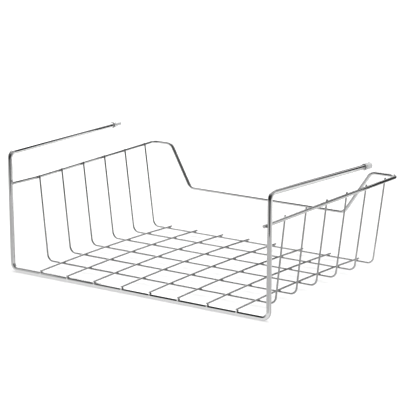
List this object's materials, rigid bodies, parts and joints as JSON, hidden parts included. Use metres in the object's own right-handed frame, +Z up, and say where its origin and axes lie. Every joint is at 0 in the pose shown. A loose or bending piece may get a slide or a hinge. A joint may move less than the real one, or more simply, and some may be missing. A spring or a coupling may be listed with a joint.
{
  "type": "under shelf basket",
  "caption": "Welded chrome wire basket whose capped arms rest on a shelf board, so that the open-fronted basket hangs below it.",
  "frame": {"origin": "below the middle of the basket's overall box, on the surface that the front bar rests on", "axes": "+X to the right as seen from the front, along the front bar; +Y back, the way the arms point; +Z up"},
  "size_m": [0.3826, 0.2981, 0.153],
  "materials": {
    "heavy_wire": "bright chrome plate on 6 mm steel wire",
    "rim_wire": "bright chrome plate on 4.5 mm steel wire",
    "thin_wire": "bright chrome plate on 2.2 mm steel wire, a little duller at the spot welds",
    "clear_cap": "clear soft vinyl, glossy"
  },
  "bodies": {
    "root": {"front_frame": "heavy_wire", "rim_wire": "rim_wire", "cross_wire_1": "thin_wire", "cross_wire_2": "thin_wire", "cross_wire_3": "thin_wire", "cross_wire_4": "thin_wire", "cross_wire_5": "thin_wire", "cross_wire_6": "thin_wire", "floor_wire_1": "thin_wire", "floor_wire_2": "thin_wire", "floor_wire_3": "thin_wire", "floor_wire_4": "thin_wire", "floor_wire_5": "thin_wire", "floor_wire_6": "thin_wire", "floor_wire_7": "thin_wire", "floor_wire_8": "thin_wire", "left_end_cap": "clear_cap", "right_end_cap": "clear_cap"}
  },
  "joints": []
}
